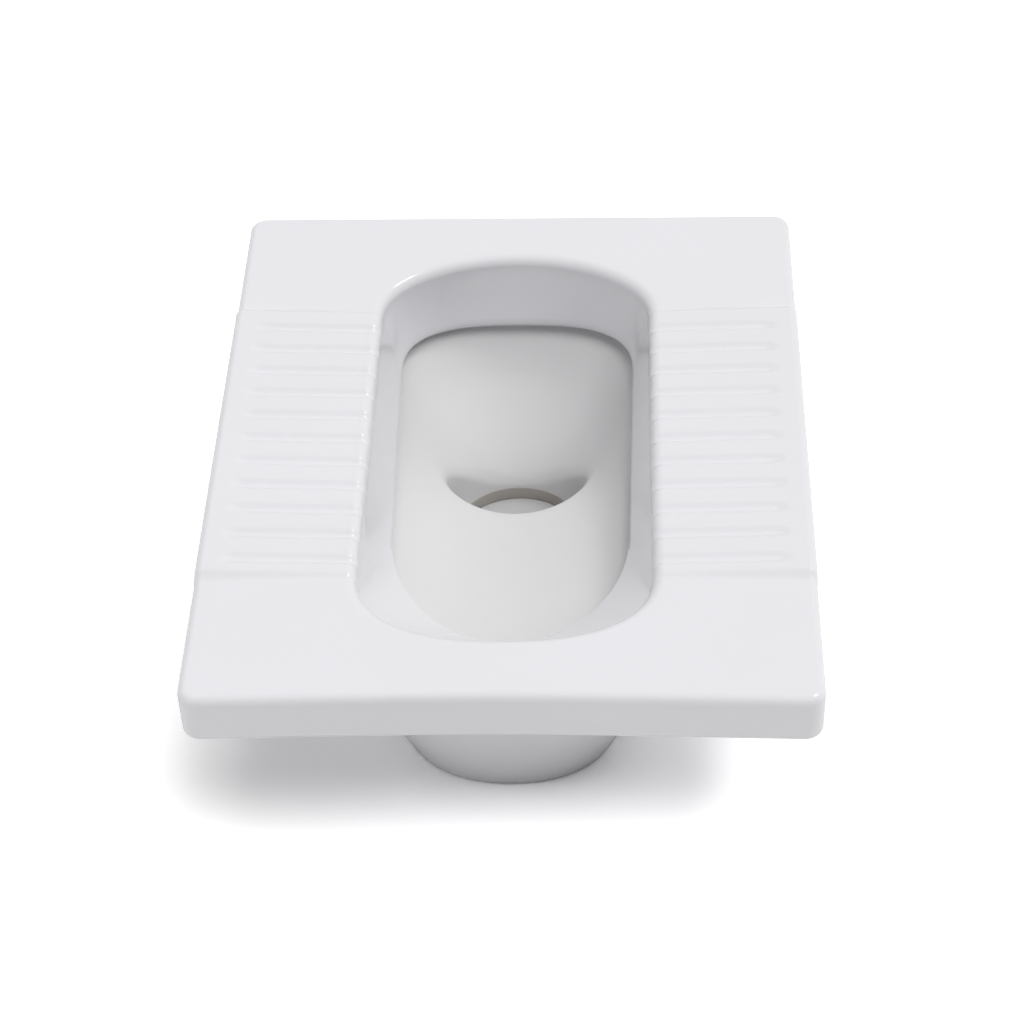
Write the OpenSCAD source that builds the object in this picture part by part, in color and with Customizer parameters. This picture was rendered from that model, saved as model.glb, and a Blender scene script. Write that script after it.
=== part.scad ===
// Squat toilet pan in glazed vitreous china, modelled as the castings it is joined from.
// Millimetres. The floor is z = 0, the user faces -Y, and the drain lies towards +Y.

/* [Deck] */
// Overall width of the deck, across the treads
deck_w = 502; // [480:1:560]
// Overall length of the deck, front to back
deck_l = 610; // [590:1:700]
// Height of the deck's top above the floor
deck_h = 200; // [195:1:230]
// Wall of the deck plate and of its skirt
deck_t = 12; // [9:0.5:14]
// Depth of the skirt, from the deck's top to its lower edge
skirt_h = 46; // [38:1:50]
// Plan radius of the deck's four corners
corner_r = 12; // [11:1:30]
// Rounding of the deck's top edge
edge_r = 7; // [4:0.5:10]
// Rounding of the skirt's lower edge
hem_r = 4; // [2:0.5:5]
// How far the middle of the front edge is drawn in by the firing
front_bow = 5; // [0:0.1:6]

/* [Treads] */
// Distance from the centre to the treads' front step
tread_front = 179; // [172:1:190]
// Distance from the centre to the treads' back step
tread_back = 168; // [160:1:182]
// Rise of the tread above the deck at its outer edge
tread_rise = 4; // [3.5:0.1:6]
// Fall of the tread's top towards the bowl
tread_fall = 3.3; // [1:0.1:3.3]
// Depth of the tread's seat in the deck plate
tread_sink = 4; // [2:0.5:5]
// How far the treads stand proud of the deck's sides
tread_proud = 0.5; // [0.2:0.1:3]
// How far the treads wrap down over the deck's sides
tread_wrap = 16; // [12:0.5:24]
// Pitch of the grooves
groove_pitch = 29.1; // [26:0.1:30]
// Number of grooves in each tread
groove_count = 11; // [5:1:11]
// Width of a groove
groove_w = 9; // [6:0.5:12]
// Depth of a groove
groove_d = 2; // [1:0.1:3]
// Plain margin between the grooves' ends and the deck's side
groove_margin = 18; // [12:1:40]

/* [Mouth and apron] */
// Width of the opening between the apron's walls
mouth_w = 238; // [220:1:250]
// Width of the deck between its front edge and the opening
front_margin = 69; // [60:1:78]
// Width of the deck between its back edge and the opening
back_margin = 66; // [60:1:78]
// Radius of the rolled edge round the opening
roll_r = 10; // [6:0.5:10]
// Depth of the apron's lower lip below the deck's top
apron_drop = 70; // [62:1:76]
// Wall of the apron
apron_t = 12; // [9:0.5:13]
// Width between the apron's lips beside the drain
lip_w = 210; // [200:1:214]
// How much narrower the lips stand at the front
lip_taper = 8; // [0:0.5:14]
// How far the lip's front end stands in from the opening's
lip_front_in = 54; // [44:1:64]
// How far the lip's back end stands in from the opening's
lip_back_in = 14; // [10:1:22]

/* [Bowl] */
// Wall of the bowl
bowl_t = 10; // [7:0.5:11]
// Gap under the apron's lip to the bowl's rim, at its front end
rim_front_gap = 4; // [3:0.5:8]
// Gap under the apron's lip to the bowl's rim, at its back end
rim_back_gap = 6; // [4:0.5:10]
// Depth of the shelf's edge at the drain, below the apron's lip
shelf_drop = 40; // [34:1:46]
// Height at which the back wall runs into the throat
scoop_h = 18; // [17:0.5:26]
// Share of the shelf's rise that it makes as a plain slope
shelf_slope = 0.69; // [0.5:0.01:0.8]
// Share of the back wall's rise that it makes as a plain slope
back_slope = 0.85; // [0.7:0.01:0.95]

/* [Drain] */
// Distance from the drain's centre to the opening's back end
drain_in = 154; // [148:1:160]
// Radius of the throat at the shelf's edge
throat_r = 65; // [62:0.5:68]
// Bore of the outlet, for a 110 mm soil pipe and its seal
outlet_bore = 115; // [112:0.5:118]
// Wall of the outlet
outlet_t = 10; // [7:0.5:11]
// Length of the outlet
outlet_h = 14; // [10:0.5:15]
// How far the outlet stands in front of the drain's centre
outlet_forward = 11; // [0:1:13]

/* [Base] */
// Width of the base on the floor
foot_w = 184; // [170:1:200]
// How far the foot's front end stands in from the opening's
foot_front_in = 18; // [9:1:27]
// How far the foot's back end stands in from the opening's
foot_back_in = 21; // [11:1:31]
// Wall of the base
base_t = 12; // [9:0.5:13]
// Width of the foot ring that turns in under the base
foot_flange = 12; // [8:1:12]
// Thickness of that foot ring
foot_t = 12; // [8:0.5:16]
// Width of the flush channel between the apron and the base
channel_gap = 11; // [9:0.5:13]
// Fall of the channel's floor at the back, from the bowl's rim out to the base
channel_fall = 16; // [14:0.5:20]
// How soon the base's sides swell out above the floor
base_flare = 1.7; // [1.5:0.05:2]

/* [Flush inlet] */
// Bore of the flush inlet, for a 38 mm flush pipe
inlet_bore = 38; // [32:0.5:40]
// Wall of the flush inlet
inlet_t = 7; // [5:0.5:8]
// Depth of the flush inlet's centre below the deck's top
inlet_drop = 72; // [71:0.5:74]
// How far the flush inlet's open end stands in from the deck's back edge
inlet_in = 18; // [14:1:26]
// Width of the spreader that splits the flush
spreader_w = 44; // [30:1:60]

/* [Ribs] */
// Thickness of the ribs under the deck
rib_t = 10; // [8:0.5:14]
// Distance of the ribs from the centre, along the deck
rib_y = 120; // [90:1:140]
// Depth of the ribs below the deck plate
rib_h = 30; // [20:1:32]

/* [Hidden] */

CHINA = [0.93, 0.925, 0.94];
SHADE = [0.86, 0.855, 0.87];
fit = 0.3;
eps = 0.01;

arc_steps = 14;
side_steps = 6;
left_back = arc_steps;
left_front = left_back + side_steps;
right_front = left_front + arc_steps;
ring_n = right_front + side_steps;

plate_z = deck_h - deck_t;
lip_z = deck_h - apron_drop;
skirt_z = deck_h - skirt_h;
side_x = deck_w / 2 - tread_proud;
half_l = deck_l / 2;
mouth_front = half_l - front_margin;
mouth_back = half_l - back_margin;
lip_front = mouth_front - lip_front_in;
lip_back = mouth_back - lip_back_in;
foot_front = mouth_front - foot_front_in;
foot_back = mouth_back - foot_back_in;
drain_y = mouth_back - drain_in;
outlet_y = drain_y - outlet_forward;
rim_front_h = lip_z - rim_front_gap;
rim_back_h = lip_z - rim_back_gap;
shelf_h = lip_z - shelf_drop;
inlet_h = deck_h - inlet_drop;
inlet_end = half_l - inlet_in;
seam_d = max(roll_r, apron_t);
outlet_r = outlet_bore / 2;
inlet_r = inlet_bore / 2;
lip_r = apron_t / 2;

// Lengths of the round ends of the openings, and the roundness of each end.
mouth_end = 75;
mouth_lead = 2.35;
lip_front_end = 125;
lip_back_end = 72;
lip_square = 2.8;
foot_end = 80;
foot_square = 2.3;
front_gap = 3;
basin_gap = 10;

// An outline is [half width front, half width back, front centre, front end, front
// exponent, back centre, back end, back exponent]: two superellipse ends on straight sides.
mouth_o = [mouth_w / 2, mouth_w / 2, mouth_end - mouth_front, mouth_end, mouth_lead,
           mouth_back - mouth_end, mouth_end, 2];
lip_o = [(lip_w - lip_taper) / 2, lip_w / 2, lip_front_end - lip_front, lip_front_end, 2,
         lip_back - lip_back_end, lip_back_end, lip_square];
foot_o = [foot_w / 2, foot_w / 2, foot_end - foot_front, foot_end, foot_square,
          foot_back - foot_end, foot_end, foot_square];
wall_d = apron_t + channel_gap + base_t;
top_o = [mouth_w / 2 + wall_d, mouth_w / 2 + wall_d, mouth_o[2],
         mouth_end + apron_t + front_gap + base_t, mouth_lead, mouth_o[5], mouth_end + wall_d, 2];

function mix(a, b, t) = a + (b - a) * t;
function power(v, e) = sign(v) * pow(abs(v), e);
function grow(o, d) = [o[0] + d, o[1] + d, o[2], o[3] + d, o[4], o[5], o[6] + d, o[7]];
function back_arc(o) = [for (k = [0:arc_steps]) let (a = 180 * k / arc_steps)
    [o[1] * power(cos(a), 2 / o[7]), o[5] + o[6] * power(sin(a), 2 / o[7])]];
function front_arc(o) = [for (k = [0:arc_steps]) let (a = 180 * k / arc_steps)
    [-o[0] * power(cos(a), 2 / o[4]), o[2] - o[3] * power(sin(a), 2 / o[4])]];
function side(p, q) = [for (k = [1:side_steps - 1]) mix(p, q, k / side_steps)];
function outline(o) = concat(back_arc(o), side([-o[1], o[5]], [-o[0], o[2]]),
    front_arc(o), side([o[0], o[2]], [o[1], o[5]]));
function lift(points, z) = [for (p = points) [p[0], p[1], z]];
function ring(o, z) = lift(outline(o), z);

// Outline of the base at a height, swelling in short straight runs from foot to deck plate.
base_levels = [for (k = [0:8]) plate_z * k / 8];
base_swell = [for (z = base_levels) [z, 1 - pow(1 - z / plate_z, base_flare)]];
function base_o(z) = mix(foot_o, top_o, lookup(z, base_swell));
// Points of the base's inner face at a height, drawn in by a clearance.
function base_inside(z, clear) = outline(grow(base_o(z), -base_t - clear));

// A closed shell from rings of equal count, each joined to the next and the last to the first.
module shell(rings) {
    n = len(rings[0]);
    count = len(rings);
    points = [for (r = rings) each r];
    faces = [for (j = [0:count - 1], i = [0:n - 1])
        let (a = j * n + i, b = j * n + (i + 1) % n,
             c = ((j + 1) % count) * n + (i + 1) % n, d = ((j + 1) % count) * n + i)
        each [[a, c, b], [a, d, c]]];
    polyhedron(points = points, faces = faces, convexity = 10);
}

// A solid block from a stack of rings of equal count, closed at both ends.
module stack(rings) {
    n = len(rings[0]);
    count = len(rings);
    points = [for (r = rings) each r];
    walls = [for (j = [0:count - 2], i = [0:n - 1])
        let (a = j * n + i, b = j * n + (i + 1) % n, c = (j + 1) * n + (i + 1) % n, d = (j + 1) * n + i)
        each [[a, c, b], [a, d, c]]];
    floor_face = [for (i = [0:n - 1]) i];
    top_face = [for (i = [n - 1:-1:0]) (count - 1) * n + i];
    polyhedron(points = points, faces = concat([floor_face], walls, [top_face]), convexity = 10);
}

// Rounded rectangle of the deck, drawn in by d, with the bow in its front edge.
corner_steps = 6;
edge_steps = 8;
function bow(x) = front_bow * (1 - pow(abs(x) / (side_x - corner_r), 1.3));
function corner(cx, cy, r, start) = [for (k = [0:corner_steps])
    let (a = start + 90 * k / corner_steps) [cx + r * cos(a), cy + r * sin(a)]];
function deck_outline(d) =
    let (x = side_x - corner_r, y = half_l - corner_r, r = corner_r - d)
    concat(corner(x, y, r, 0), corner(-x, y, r, 90), corner(-x, -y, r, 180),
        [for (k = [1:edge_steps - 1]) let (u = x * (2 * k / edge_steps - 1))
            [u, -half_l + d + bow(u)]],
        corner(x, -y, r, 270));

module deck_block() {
    round_steps = 4;
    hem = [for (k = [0:2]) let (a = 90 * k / 2)
        lift(deck_outline(hem_r * (1 - sin(a))), skirt_z + hem_r * (1 - cos(a)))];
    brow = [for (k = [0:round_steps]) let (a = 90 * k / round_steps)
        lift(deck_outline(edge_r * (1 - cos(a))), deck_h - edge_r * (1 - sin(a)))];
    stack(concat(hem, brow));
}

module deck_hollow() {
    translate([0, 0, skirt_z - 1])
        linear_extrude(plate_z - skirt_z + 1)
            polygon(deck_outline(deck_t));
}

module mouth_cut() {
    translate([0, 0, skirt_z])
        linear_extrude(2 * skirt_h)
            polygon(outline(grow(mouth_o, seam_d)));
}

// Space of one tread, on the +X side, seen along the deck: a seat in the plate and a wrap.
module tread_space() {
    top = deck_h + tread_rise + edge_r;
    seat_z = deck_h - tread_sink;
    wrap_x = side_x - tread_sink;
    translate([0, tread_back, 0])
        rotate([90, 0, 0])
            linear_extrude(tread_front + tread_back)
                polygon([[mouth_w / 4, seat_z], [wrap_x - tread_sink, seat_z],
                         [wrap_x, seat_z - tread_sink], [wrap_x, deck_h - tread_wrap],
                         [deck_w, deck_h - tread_wrap], [deck_w, top], [mouth_w / 4, top]]);
}

// The tread's own outline, seen along the deck: a top that falls to the bowl and a round edge.
module tread_profile() {
    x_out = deck_w / 2;
    x_in = mouth_w / 4;
    round_z = deck_h + tread_rise - edge_r;
    slope = tread_fall / (deck_w / 2 - edge_r - mouth_w / 2 - seam_d);
    low_z = deck_h + tread_rise - slope * (x_out - edge_r - x_in);
    brow = [for (k = [0:6]) let (a = 90 * k / 6)
        [x_out - edge_r * (1 - cos(a)), round_z + edge_r * sin(a)]];
    polygon(concat([[x_in, deck_h - tread_wrap], [x_out, deck_h - tread_wrap]], brow,
        [[x_in, low_z]]));
}

// Seen across the deck: a soft ramp at the front step and a crisp step at the back.
module tread_steps() {
    ramp = 3 * tread_rise;
    z0 = deck_h - tread_wrap - 1;
    rotate([90, 0, 90])
        linear_extrude(deck_w)
            polygon([[-tread_front, z0], [tread_back, z0],
                     [tread_back, deck_h + tread_rise - 2], [tread_back - 2, deck_h + tread_rise + eps],
                     [ramp - tread_front, deck_h + tread_rise + eps], [-tread_front, deck_h - 1]]);
}

// One groove: a round-bottomed channel that flares at the bowl and fades out at the margin.
module groove() {
    x_in = mouth_w / 2 + seam_d;
    x_out = deck_w / 2 - groove_margin;
    span = x_out - x_in;
    r = (groove_w * groove_w / 4 + groove_d * groove_d) / (2 * groove_d);
    fade = 3 * groove_d + 4;
    flare = 8;
    tilt = atan(tread_fall / (deck_w / 2 - edge_r - x_in));
    translate([x_in, 0, deck_h + tread_rise - tread_fall - groove_d + r])
        rotate([0, 90 - tilt, 0])
            translate([0, 0, -flare])
                rotate_extrude($fn = 40)
                    polygon([[0, 0], [r + 1.5, 0], [r, 2 * flare], [r, flare + span - fade],
                             [r - groove_d, flare + span], [0, flare + span]]);
}

module tread() {
    groove_y0 = (tread_back - tread_front) / 2 - groove_pitch * (groove_count - 1) / 2;
    difference() {
        intersection() {
            tread_space();
            rotate([90, 0, 0])
                translate([0, 0, -deck_l / 2])
                    linear_extrude(deck_l)
                        tread_profile();
            tread_steps();
        }
        mouth_cut();
        for (k = [0:groove_count - 1])
            translate([0, groove_y0 + k * groove_pitch, 0])
                groove();
    }
}

module deck() {
    color(CHINA)
    difference() {
        deck_block();
        deck_hollow();
        mouth_cut();
        tread_space();
        mirror([1, 0, 0]) tread_space();
    }
}

module right_tread() {
    color(CHINA) tread();
}

module left_tread() {
    color(CHINA) mirror([1, 0, 0]) tread();
}

// Outline of the apron's hidden face, from its lip (t = 0) to the deck plate (t = 1).
function apron_back_o(t) = grow(mix(lip_o, mouth_o, t), mix(apron_t, seam_d, t));

// The apron's inner face: the roll at the top, then a wall that draws in to the lip.
module rim_apron() {
    roll_steps = 4;
    wall_steps = 4;
    lip_steps = 6;
    roll_z = deck_h - roll_r;
    lip_top = lip_z + lip_r;
    roll = [for (k = [1:roll_steps]) let (a = 90 * k / roll_steps)
        ring(grow(mouth_o, roll_r * (1 - sin(a))), roll_z + roll_r * cos(a))];
    wall = [for (k = [1:wall_steps]) let (t = k / wall_steps)
        ring(mix(mouth_o, lip_o, t), mix(roll_z, lip_top, t))];
    lip = [for (k = [1:lip_steps]) let (a = 180 * k / lip_steps)
        ring(grow(lip_o, lip_r * (1 - cos(a))), lip_top - lip_r * sin(a))];
    outside = [for (k = [1:wall_steps]) let (t = k / wall_steps)
        ring(apron_back_o(t), mix(lip_top, plate_z, t))];
    seam = [ring(grow(mouth_o, seam_d), deck_h)];
    color(CHINA)
        shell(concat(seam, roll, wall, lip, outside));
}

// The bowl: for every point of its rim, a section that runs in to the throat. Its edge there
// drops from the shelf's height, in front, to the scoop's, at the back.
drain = [0, drain_y];
rim_z0 = (rim_front_h + rim_back_h) / 2;
rim_slope = (rim_front_h - rim_back_h) / (lip_front + lip_back);
function rim_z(y) = rim_z0 - rim_slope * (y - (lip_back - lip_front) / 2);
function throat_share(z) = (z - outlet_h) / (shelf_h - outlet_h);
function throat_at(z) = mix(outlet_r, throat_r, throat_share(z));

edge_fall = 2.2;
back_power = 4;
shelf_power = 12;
throat_bend = 0.22;
edge_round = 2;
basin_o = grow(lip_o, basin_gap);
basin_pts = outline(basin_o);
dist = [for (p = basin_pts) norm(p - drain)];
way = [for (i = [0:ring_n - 1]) (basin_pts[i] - drain) / dist[i]];
nearness = [for (w = way) (1 - w[1]) / 2];
edge_z = [for (f = nearness) mix(scoop_h, shelf_h, 1 - pow(1 - f, edge_fall))];
edge_r_at = [for (z = edge_z) throat_at(z)];
rise_power = [for (f = nearness) mix(back_power, shelf_power, f * f)];
slope_share = [for (f = nearness) mix(back_slope, shelf_slope, f)];
slope_power = [for (f = nearness) 1 - throat_bend * (1 - f) * (1 - f)];

function bowl_z(i, h) =
    let (rise = rim_z(basin_pts[i][1]) - edge_z[i], share = slope_share[i])
    edge_z[i] + rise * (share * pow(h, slope_power[i]) + (1 - share) * pow(h, rise_power[i]));
function bowl_rho(i, h) = mix(edge_r_at[i], dist[i], h);
function at(i, rho, z) = [way[i][0] * rho,
    mix(outlet_y, drain_y, min(throat_share(z), 1)) + way[i][1] * rho, z];
function bowl_in(h) = [for (i = [0:ring_n - 1]) at(i, bowl_rho(i, h), bowl_z(i, h))];
function bowl_under(h) = [for (i = [0:ring_n - 1])
    let (step = 0.02,
         run = bowl_rho(i, h + step) - bowl_rho(i, h - step),
         climb = bowl_z(i, min(h + step, 1)) - bowl_z(i, h - step),
         size = norm([run, climb]))
    at(i, min(bowl_rho(i, h) + bowl_t * climb / size, dist[i]), bowl_z(i, h) - bowl_t * run / size)];
function throat_ring(t, d) = [for (i = [0:ring_n - 1])
    let (z = mix(edge_z[i] - edge_round, outlet_h, t))
    at(i, throat_at(z) + d, z)];

module bowl() {
    inside = [for (h = [1, 0.985, 0.955, 0.9, 0.8, 0.65, 0.5, 0.35, 0.2, 0.1, 0.04]) bowl_in(h)];
    lip_edge = [for (i = [0:ring_n - 1])
        at(i, edge_r_at[i] + 0.3 * edge_round, edge_z[i] - 0.6 * edge_round)];
    throat = [for (t = [0, 0.5, 1]) throat_ring(t, 0)];
    under_throat = [for (t = [1, 0.25]) throat_ring(t, bowl_t)];
    below = [for (h = [0.24, 0.4, 0.6, 0.8, 0.92]) bowl_under(h)];
    edge_low = [for (p = basin_pts) [p[0], p[1], rim_z(p[1]) - bowl_t]];
    color(CHINA)
        shell(concat(inside, [lip_edge], throat, under_throat, below, [edge_low]));
}

// The floor of the flush channel: a ledge from the bowl's rim out and down to the base.
function channel_z(y) = rim_z(y) - channel_fall * (y + lip_front) / (lip_back + lip_front);

module channel_floor() {
    inner = outline(grow(basin_o, fit));
    wall = base_inside(rim_z0, fit);
    function outer(drop) = [for (i = [0:ring_n - 1])
        let (z = channel_z(wall[i][1]) - drop, p = base_inside(z, fit)[i])
        [p[0], p[1], z]];
    function edge(drop) = [for (p = inner) [p[0], p[1], rim_z(p[1]) - drop]];
    color(CHINA)
        shell([outer(0), edge(0), edge(bowl_t), outer(bowl_t)]);
}

module outlet_collar() {
    color(SHADE)
    translate([0, outlet_y, 0])
        difference() {
            cylinder(h = outlet_h, r = outlet_r + outlet_t, $fn = 96);
            translate([0, 0, -1])
                cylinder(h = outlet_h + 2, r = outlet_r, $fn = 96);
        }
}

// The base: a tub that swells from the floor to the deck and carries bowl and deck. Each of
// its sections runs between two points of the outline, as a row of upright wall slices.
base_out = [for (z = base_levels) ring(base_o(z), z)];
base_in = [for (z = base_levels) lift(base_inside(z, 0), z)];

module base_section(first, last) {
    top = len(base_levels) - 1;
    size = 2 * top + 2;
    rows = last - first;
    points = [for (i = [first:last]) let (j = i % ring_n)
        each concat([for (k = [0:top]) base_out[k][j]], [for (k = [top:-1:0]) base_in[k][j]])];
    walls = [for (r = [0:rows - 1], k = [0:size - 1])
        let (a = r * size + k, b = r * size + (k + 1) % size)
        each [[a, b, b + size], [a, b + size, a + size]]];
    end = rows * size;
    caps = [for (k = [0:top - 1]) let (i = size - 1 - k)
        each [[k, i, i - 1, k + 1], [end + k, end + k + 1, end + i - 1, end + i]]];
    color(CHINA)
        polyhedron(points = points, faces = concat(walls, caps), convexity = 10);
}

module base_front() {
    base_section(left_front, right_front);
}

module base_back() {
    difference() {
        base_section(0, left_back);
        translate([0, mouth_back / 2, inlet_h])
            rotate([-90, 0, 0])
                cylinder(h = mouth_back, r = inlet_r + inlet_t, $fn = 64);
    }
}

module base_left() {
    base_section(left_back, left_front);
}

module base_right() {
    base_section(right_front, ring_n);
}

// The foot: a flat ring that turns in round the bottom of the base.
module foot_ring() {
    outer = [for (z = [0, foot_t]) lift(base_inside(z, fit), z)];
    inner = [for (z = [foot_t, 0]) lift(base_inside(0, foot_flange), z)];
    color(SHADE)
        shell(concat(outer, inner));
}

inlet_o = base_o(inlet_h);
inlet_start = inlet_o[5] + inlet_o[6] - base_t;

module flush_inlet() {
    color(SHADE)
    translate([0, inlet_start, inlet_h])
        rotate([-90, 0, 0])
            difference() {
                cylinder(h = inlet_end - inlet_start, r = inlet_r + inlet_t, $fn = 64);
                translate([0, 0, -1])
                    cylinder(h = inlet_end - inlet_start + 2, r = inlet_r, $fn = 64);
            }
}

// A wedge behind the apron that splits the flush into the two arms of the channel.
module flush_spreader() {
    wedge = [for (t = [0, 1]) let (o = apron_back_o(t), y = o[5] + o[6] + fit)
        lift([[-spreader_w / 2, y], [spreader_w / 2, y], [0, y + channel_gap / 2]],
            mix(lip_z + lip_r, plate_z, t))];
    color(SHADE)
        stack(wedge);
}

// One rib, across the space between the base and the skirt, with its lower edge raked.
module rib() {
    low_z = plate_z - rib_h;
    x_skirt = side_x - deck_t;
    at_base = [for (z = [plate_z, base_levels[7], low_z]) [base_o(z)[1] + fit, z]];
    translate([0, rib_t / 2, 0])
        rotate([90, 0, 0])
            linear_extrude(rib_t)
                polygon(concat(at_base, [[x_skirt, low_z + rib_h / 4], [x_skirt, plate_z]]));
}

module deck_ribs() {
    color(SHADE)
    for (s = [0, 1], y = [-rib_y, rib_y])
        mirror([s, 0, 0])
            translate([0, y, 0])
                rib();
}

deck();
left_tread();
right_tread();
rim_apron();
channel_floor();
bowl();
outlet_collar();
base_front();
base_back();
base_left();
base_right();
foot_ring();
flush_inlet();
flush_spreader();
deck_ribs();
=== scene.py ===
"""Squat toilet pan in glazed vitreous china: its castings, its glazes and a plain studio."""

import math
from collections import namedtuple

import bmesh
import bpy
from bpy.props import FloatProperty, FloatVectorProperty, IntProperty, PointerProperty
from mathutils import Euler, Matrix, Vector


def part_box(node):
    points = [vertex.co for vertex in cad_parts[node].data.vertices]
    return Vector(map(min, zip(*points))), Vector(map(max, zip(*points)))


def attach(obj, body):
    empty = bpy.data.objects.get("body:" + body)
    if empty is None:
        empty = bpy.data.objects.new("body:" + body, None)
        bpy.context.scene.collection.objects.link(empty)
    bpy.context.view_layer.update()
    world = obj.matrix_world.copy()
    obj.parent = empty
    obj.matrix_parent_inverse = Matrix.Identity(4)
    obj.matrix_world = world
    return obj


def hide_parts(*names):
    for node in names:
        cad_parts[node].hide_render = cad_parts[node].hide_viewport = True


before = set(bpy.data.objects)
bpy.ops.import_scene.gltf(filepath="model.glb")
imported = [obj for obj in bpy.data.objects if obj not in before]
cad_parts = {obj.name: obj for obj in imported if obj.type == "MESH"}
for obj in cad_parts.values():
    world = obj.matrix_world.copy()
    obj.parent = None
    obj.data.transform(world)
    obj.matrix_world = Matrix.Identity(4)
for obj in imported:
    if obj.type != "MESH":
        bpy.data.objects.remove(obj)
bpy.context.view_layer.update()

bl_info = {
    "name": "Squat Toilet Pan",
    "version": (1, 0, 0),
    "blender": (4, 5, 0),
    "location": "3D View > Sidebar > Squat Pan",
    "description": "Models, glazes and lights a squat toilet pan round its packed frame",
    "category": "Add Mesh",
}

DECK_LOW, DECK_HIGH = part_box("deck")
TREAD_LOW, TREAD_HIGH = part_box("right_tread")
APRON_LOW, APRON_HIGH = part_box("rim_apron")
COLLAR_LOW, COLLAR_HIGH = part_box("outlet_collar")
SPREADER_LOW, SPREADER_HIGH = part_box("flush_spreader")
INLET_LOW, INLET_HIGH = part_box("flush_inlet")
RIB_LOW, RIB_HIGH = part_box("deck_ribs")
FOOT_LOW, FOOT_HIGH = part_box("foot_ring")

FIT = 0.0003  # gap between two castings
HOLD = 0.001  # distance of the ring that keeps a rounding to itself
SMALL_ROUND = 0.0015
CLEAR = 1.1  # how far a cutting tool reaches past what it cuts
NUDGE = 0.01  # step to either side where a slope is measured
UNDERSIDE = (0.24, 0.92)  # the stretch of the bowl's face that its underside follows
CROWDING = 1.3  # above 1, the bowl's points stand closer at its rim
RING_POINTS = 960
BOWL_POINTS = 480
BASE_POINTS = 360
TURNED_POINTS = 128
PIPE_POINTS = 96
ROUND_STEPS = 10
ROLL_STEPS = 14
WALL_STEPS = 10
TREAD_STEPS = 14
BOWL_STEPS = 44
BASE_STEPS = 24
FOOT_STEPS = 5
HALVINGS = 40
SMOOTH_ANGLE = math.radians(32)
FLOOR_WHITE = 0.96

Outline = namedtuple(
    "Outline",
    "front_half back_half front_y front_end front_power back_y back_end back_power",
)
Lamp = namedtuple("Lamp", "name side height softness strength in_gloss")


# Sizes and colours -----------------------------------------------------------------------


def length(name, description, default):
    """A property for a length in metres."""
    return FloatProperty(name=name, description=description, default=default, unit="LENGTH")


def number(name, description, default):
    """A property for a plain number."""
    return FloatProperty(name=name, description=description, default=default)


class PanDeck(bpy.types.PropertyGroup):
    """Sizes of the deck."""

    wall: length("Wall", "Thickness of the deck plate and its skirt", 0.012)
    edge_round: length("Top edge", "Rounding of the deck's top edge", 0.007)
    hem_round: length("Hem", "Rounding of the skirt's lower edge", 0.004)
    corner_round: length("Corners", "Plan radius of the deck's corners", 0.015)
    front_bow: length("Front bow", "How far the front edge is drawn in at its middle", 0.005)
    bow_power: number("Bow power", "Shape of the bow: 1 is a wedge, 2 an arc", 1.3)
    rib: length("Rib", "Thickness of a rib under the deck", 0.010)
    rib_round: length("Rib edge", "Bevel of a rib's edges", 0.002)


class PanTreads(bpy.types.PropertyGroup):
    """Sizes of the foot treads and their grooves."""

    fall: length("Fall", "Fall of a tread's top towards the bowl", 0.0033)
    sink: length("Seat", "Depth of a tread's seat in the deck", 0.004)
    ramp: length("Front step", "Length of the soft step at a tread's front end", 0.015)
    step: length("Back step", "Length of the crisp step at a tread's back end", 0.003)
    pitch: length("Pitch", "Distance from groove to groove", 0.0291)
    count: IntProperty(
        name="Grooves", description="Number of grooves in each tread", default=11)
    width: length("Groove width", "Width of a groove at the tread's surface", 0.0145)
    depth: length("Groove depth", "Depth of a groove", 0.0026)
    valley: length("Valley", "Depth of the valleys across the treads' ends", 0.0012)
    margin: length("Margin", "Plain margin between the grooves and the deck's side", 0.017)
    fade: length("Fade", "Length over which a groove's outer end runs out", 0.014)


class PanApron(bpy.types.PropertyGroup):
    """Sizes of the opening's rolled edge and of the apron under it."""

    seam: length("Seam", "Distance from the opening to the seam with the deck", 0.012)
    roll: length("Roll", "Radius of the rolled edge", 0.010)
    wall: length("Wall", "Thickness of the apron", 0.012)
    opening_end: length("Opening end", "Length of the opening's round ends", 0.075)
    opening_power: number("Opening power", "Fullness of the opening's front end: 2 is round", 2.35)
    lip_width: length("Lip width", "Width between the lips beside the drain", 0.210)
    lip_taper: length("Lip taper", "How much narrower the lips stand at the front", 0.008)
    lip_front_in: length("Front lip", "How far the lip's front end stands in", 0.054)
    lip_back_in: length("Back lip", "How far the lip's back end stands in", 0.014)
    lip_front_end: length("Front lip end", "Length of the lip's round front end", 0.125)
    lip_back_end: length("Back lip end", "Length of the lip's round back end", 0.072)
    lip_back_power: number("Back lip power", "Fullness of the lip's back end: 2 is round", 2.8)


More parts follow.
